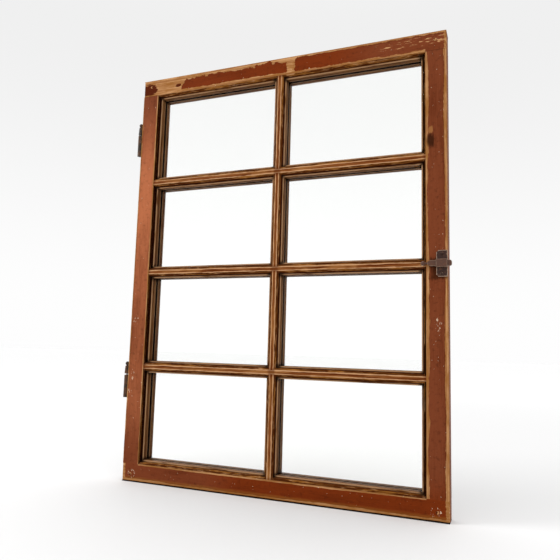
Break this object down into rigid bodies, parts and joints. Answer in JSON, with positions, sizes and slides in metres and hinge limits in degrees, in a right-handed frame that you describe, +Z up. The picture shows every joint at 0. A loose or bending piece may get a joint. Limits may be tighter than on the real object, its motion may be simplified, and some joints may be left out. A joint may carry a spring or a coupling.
{
  "type": "casement window sash",
  "caption": "Painted wooden casement sash with moulded glazing bars, mirror panes, lift-off hinges with ball finials at one edge and a small slide bolt at the other.",
  "frame": {"origin": "centre of the sash's bottom edge, halfway through its thickness", "axes": "+Z up the sash, +X towards the slide bolt, -Y out of the moulded front face"},
  "size_m": [0.8532, 0.052, 1.1],
  "materials": {
    "painted_frame_wood": "worn red-brown paint over pine, arrises rubbed to bare wood",
    "painted_bar_wood": "worn paint, golden brown wood showing on the noses, dark in the recesses",
    "peg_wood": "painted end grain of riven pegs",
    "mirror_glass": "silvered mirror glass",
    "bead_wood": "planed bare pine strip",
    "pin_steel": "bright wire pins",
    "hinge_iron": "dark olive brown iron, old paint and rust",
    "hinge_pin_steel": "worn plain steel",
    "screw_steel": "dull old steel, slotted",
    "latch_screw_iron": "painted over, slotted dome heads",
    "latch_iron": "old brown paint on iron, worn at the edges",
    "bolt_iron": "brown-grey painted iron, rubbed where it slides"
  },
  "bodies": {
    "jamb_side": {"lower_jamb_leaf": "hinge_iron", "upper_jamb_leaf": "hinge_iron", "lower_hinge_pin": "hinge_pin_steel", "upper_hinge_pin": "hinge_pin_steel"},
    "sash": {"left_stile": "painted_frame_wood", "right_stile": "painted_frame_wood", "bottom_rail": "painted_frame_wood", "top_rail": "painted_frame_wood", "lower_bar": "painted_bar_wood", "middle_bar": "painted_bar_wood", "upper_bar": "painted_bar_wood", "upright_bar": "painted_bar_wood", "corner_pegs": "peg_wood", "bottom_left_pane": "mirror_glass", "bottom_right_pane": "mirror_glass", "lower_left_pane": "mirror_glass", "lower_right_pane": "mirror_glass", "upper_left_pane": "mirror_glass", "upper_right_pane": "mirror_glass", "top_left_pane": "mirror_glass", "top_right_pane": "mirror_glass", "bottom_rail_beads": "bead_wood", "lower_bar_under_beads": "bead_wood", "lower_bar_over_beads": "bead_wood", "middle_bar_under_beads": "bead_wood", "middle_bar_over_beads": "bead_wood", "upper_bar_under_beads": "bead_wood", "upper_bar_over_beads": "bead_wood", "top_rail_beads": "bead_wood", "left_stile_beads": "bead_wood", "upright_bar_left_beads": "bead_wood", "upright_bar_right_beads": "bead_wood", "right_stile_beads": "bead_wood", "bead_pins": "pin_steel", "lower_sash_leaf": "hinge_iron", "upper_sash_leaf": "hinge_iron", "hinge_finials": "hinge_iron", "hinge_screws": "screw_steel", "latch_plate": "latch_iron", "bolt_strap": "latch_iron", "latch_screws": "latch_screw_iron"},
    "bolt": {"slide_bolt": "bolt_iron", "bolt_stop_pin": "bolt_iron", "bolt_knob": "bolt_iron"}
  },
  "joints": [
    {"name": "sash_swing", "type": "hinge", "parent": "jamb_side", "child": "sash", "pos_m": [-0.4224, -0.0147, 0.55], "axis": [0, 0, -1], "range_deg": [0, 95]},
    {"name": "bolt_slide", "type": "slide", "parent": "sash", "child": "bolt", "axis": [1, 0, 0], "range_m": [-0.011, 0]}
  ]
}
